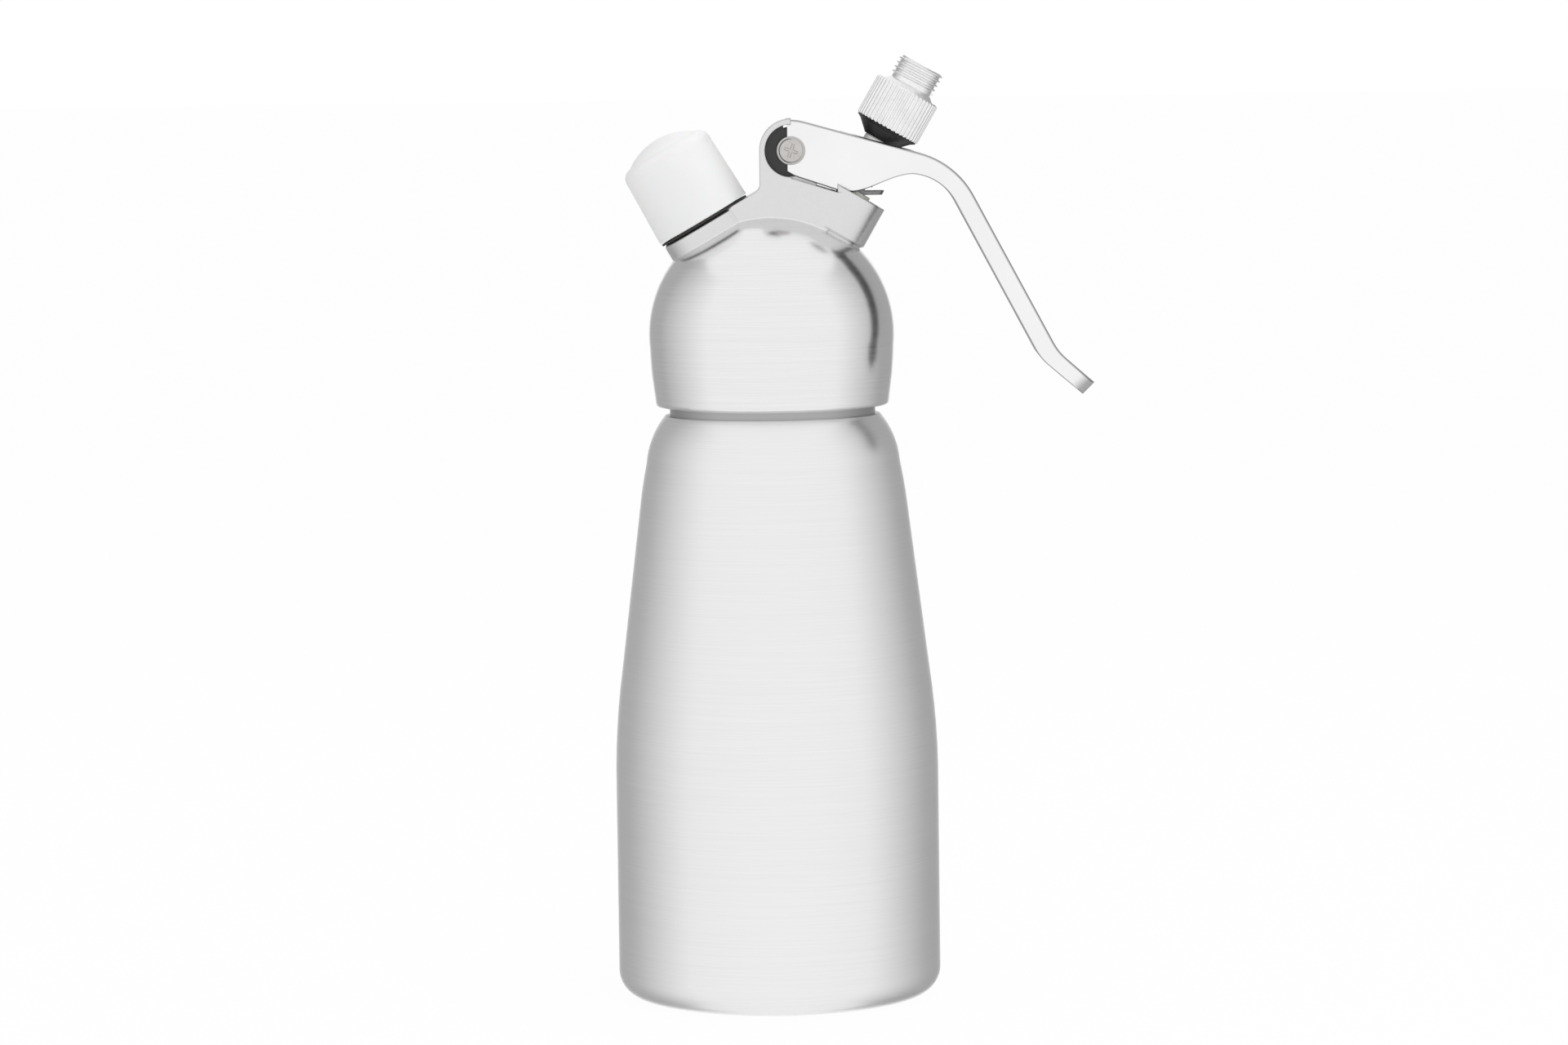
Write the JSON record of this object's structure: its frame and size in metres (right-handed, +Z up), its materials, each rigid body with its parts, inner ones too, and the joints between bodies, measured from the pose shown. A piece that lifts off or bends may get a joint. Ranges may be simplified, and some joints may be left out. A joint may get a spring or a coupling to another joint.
{
  "type": "whipped cream dispenser",
  "caption": "Pressure bottle with a screw-on domed head, a capped gas inlet, a hand lever and a sprung valve whose knurled outlet takes a decorator tip.",
  "frame": {"origin": "centre of the bottle's base, on the surface it stands on", "axes": "+Z up along the bottle, +X towards the lever's grip, +Y to the lever's far cheek"},
  "size_m": [0.1224, 0.082, 0.2382],
  "materials": {
    "aluminium_bottle": "lathe-brushed aluminium",
    "aluminium_head": "cast aluminium, dome lathe-brushed, saddle satin",
    "polished_aluminium": "polished cast aluminium",
    "knurled_aluminium": "turned and knurled bright aluminium",
    "white_plastic": "moulded white plastic",
    "black_rubber": "black rubber",
    "grey_rubber": "grey food-grade rubber",
    "steel": "stainless steel",
    "spring_steel": "drawn stainless wire",
    "brass": "nickel-plated brass",
    "pale_plastic": "natural acetal plastic"
  },
  "bodies": {
    "bottle": {"bottle": "aluminium_bottle"},
    "gasket": {"head_gasket": "grey_rubber"},
    "head": {"head": "aluminium_head", "inlet_gasket": "black_rubber", "inlet_stub": "brass", "piercing_pin": "steel", "check_retainer": "steel", "check_spring": "spring_steel", "pivot_sleeve": "pale_plastic", "pivot_screw": "steel", "pivot_washers": "steel", "pivot_nut": "steel", "valve_seat": "pale_plastic", "stem_guide": "pale_plastic", "valve_spring": "spring_steel"},
    "lever": {"lever": "polished_aluminium", "fork_plate": "steel"},
    "valve": {"valve_stem": "steel", "spring_collar": "pale_plastic", "collar_clip": "steel", "poppet": "steel", "poppet_seal": "black_rubber", "poppet_nut": "steel"},
    "washer": {"adapter_washer": "black_rubber"},
    "adapter": {"nozzle_adapter": "knurled_aluminium"},
    "check_ball": {"check_ball": "steel"},
    "cap": {"cap": "white_plastic"}
  },
  "joints": [
    {"name": "head_rise", "type": "slide", "parent": "bottle", "child": "gasket", "axis": [0, 0, 1], "range_m": [0, 0.012]},
    {"name": "head_unscrew", "type": "hinge", "parent": "gasket", "child": "head", "pos_m": [0, 0, 0.16], "axis": [0, 0, 1], "range_deg": [0, 1080]},
    {"name": "lever_press", "type": "hinge", "parent": "head", "child": "lever", "pos_m": [0.0055, 0, 0.2146], "axis": [0, 1, 0], "range_deg": [0, 8], "stiffness_Nm_per_rad": 1.28, "springref_deg": -7.61},
    {"name": "valve_travel", "type": "slide", "parent": "head", "child": "valve", "axis": [-0.5, 0, -0.866], "range_m": [0, 0.0032], "deforming": ["valve_spring"]},
    {"name": "adapter_rise", "type": "slide", "parent": "valve", "child": "washer", "axis": [0.5, 0, 0.866], "range_m": [0, 0.00625]},
    {"name": "adapter_unscrew", "type": "hinge", "parent": "washer", "child": "adapter", "pos_m": [0.0325, 0, 0.22459], "axis": [0.5, 0, 0.866], "range_deg": [0, 1800]},
    {"name": "check_lift", "type": "slide", "parent": "head", "child": "check_ball", "axis": [0.5, 0, -0.866], "range_m": [0, 0.0006], "stiffness_N_per_m": 60, "springref_m": -0.0005, "deforming": ["check_spring"]},
    {"name": "cap_pull", "type": "slide", "parent": "head", "child": "cap", "axis": [-0.5, 0, 0.866], "range_m": [0, 0.024]}
  ],
  "couplings": [
    {"joint": "head_rise", "follows": "head_unscrew", "m_per_rad": 0.00063662},
    {"joint": "valve_travel", "follows": "lever_press", "m_per_rad": 0.0226},
    {"joint": "adapter_rise", "follows": "adapter_unscrew", "m_per_rad": 0.00019894}
  ]
}
